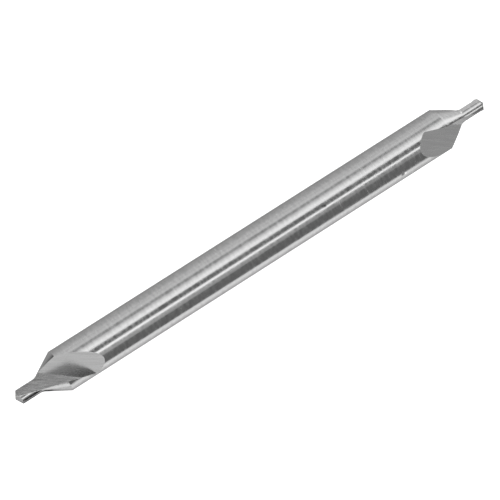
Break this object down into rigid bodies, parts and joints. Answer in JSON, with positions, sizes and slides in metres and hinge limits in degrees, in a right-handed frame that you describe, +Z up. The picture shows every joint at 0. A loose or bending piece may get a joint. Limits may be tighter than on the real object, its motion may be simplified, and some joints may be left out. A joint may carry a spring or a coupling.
{
  "type": "centre drill",
  "caption": "Double-ended centre drill: a plain round ground-steel shank with a short fluted pilot and a 60 degree countersink cone at each end.",
  "frame": {"origin": "mid-length of the tool on its axis, which is the centre of the shank", "axes": "+X along the tool from end A to end B; +Z up from the floor on which the tool lies, with one flute of each end toward +Z and -Y"},
  "size_m": [0.1, 0.008, 0.008],
  "materials": {
    "ground_steel": "bright ground tool steel, shank polished, flutes left as ground"
  },
  "bodies": {
    "root": {"centre_drill": "ground_steel"}
  },
  "joints": []
}
